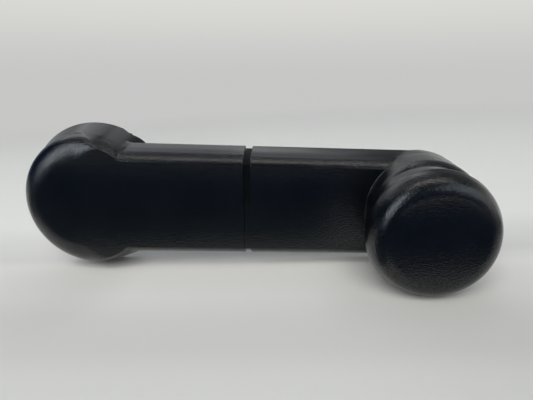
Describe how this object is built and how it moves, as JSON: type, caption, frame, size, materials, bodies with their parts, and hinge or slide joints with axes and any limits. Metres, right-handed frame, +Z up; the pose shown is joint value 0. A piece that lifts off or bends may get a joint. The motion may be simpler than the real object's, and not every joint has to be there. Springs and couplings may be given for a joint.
{
  "type": "window winder handle",
  "caption": "Moulded crank handle with a round hub, slide-off cover, splined metal insert with screw, and a disc knob that turns on a pin.",
  "frame": {"origin": "on the spindle axis, in the plane of the hub's rear rim", "axes": "+X along the arm from the spindle axis to the knob axis, +Y into the door along the spindle, +Z up across the arm; the face of the handle and the knob look towards -Y"},
  "size_m": [0.1421, 0.0389, 0.0474],
  "materials": {
    "arm_plastic": "black moulded plastic, finely grained face and smooth drafted walls",
    "cover_plastic": "black moulded plastic, finely grained face and smooth drafted walls, worn at the rim",
    "knob_body_plastic": "smooth black moulded plastic",
    "knob_cap_plastic": "black moulded plastic with a fine pebble grain on the front",
    "insert_zinc": "die-cast zinc, dull",
    "screw_steel": "zinc plated",
    "washer_steel": "zinc plated",
    "spring_steel": "oiled spring steel",
    "pin_steel": "bright turned steel",
    "bush_nylon": "natural nylon"
  },
  "bodies": {
    "crank": {"arm_core": "arm_plastic", "spline_insert": "insert_zinc", "hub_flat_washer": "washer_steel", "hub_spring_washer": "spring_steel", "hub_screw": "screw_steel", "knob_pin": "pin_steel", "knob_wave_washer": "spring_steel", "pin_back_washer": "washer_steel", "pin_retaining_ring": "spring_steel"},
    "cover": {"slide_cover": "cover_plastic"},
    "knob": {"knob_body": "knob_body_plastic", "knob_cap": "knob_cap_plastic", "knob_bush": "bush_nylon"}
  },
  "joints": [
    {"name": "knob_spin", "type": "hinge", "parent": "crank", "child": "knob", "pos_m": [0.1, -0.03, 0], "axis": [0, -1, 0], "continuous": true},
    {"name": "cover_slide", "type": "slide", "parent": "crank", "child": "cover", "axis": [-1, 0, 0], "range_m": [0, 0.065]}
  ]
}
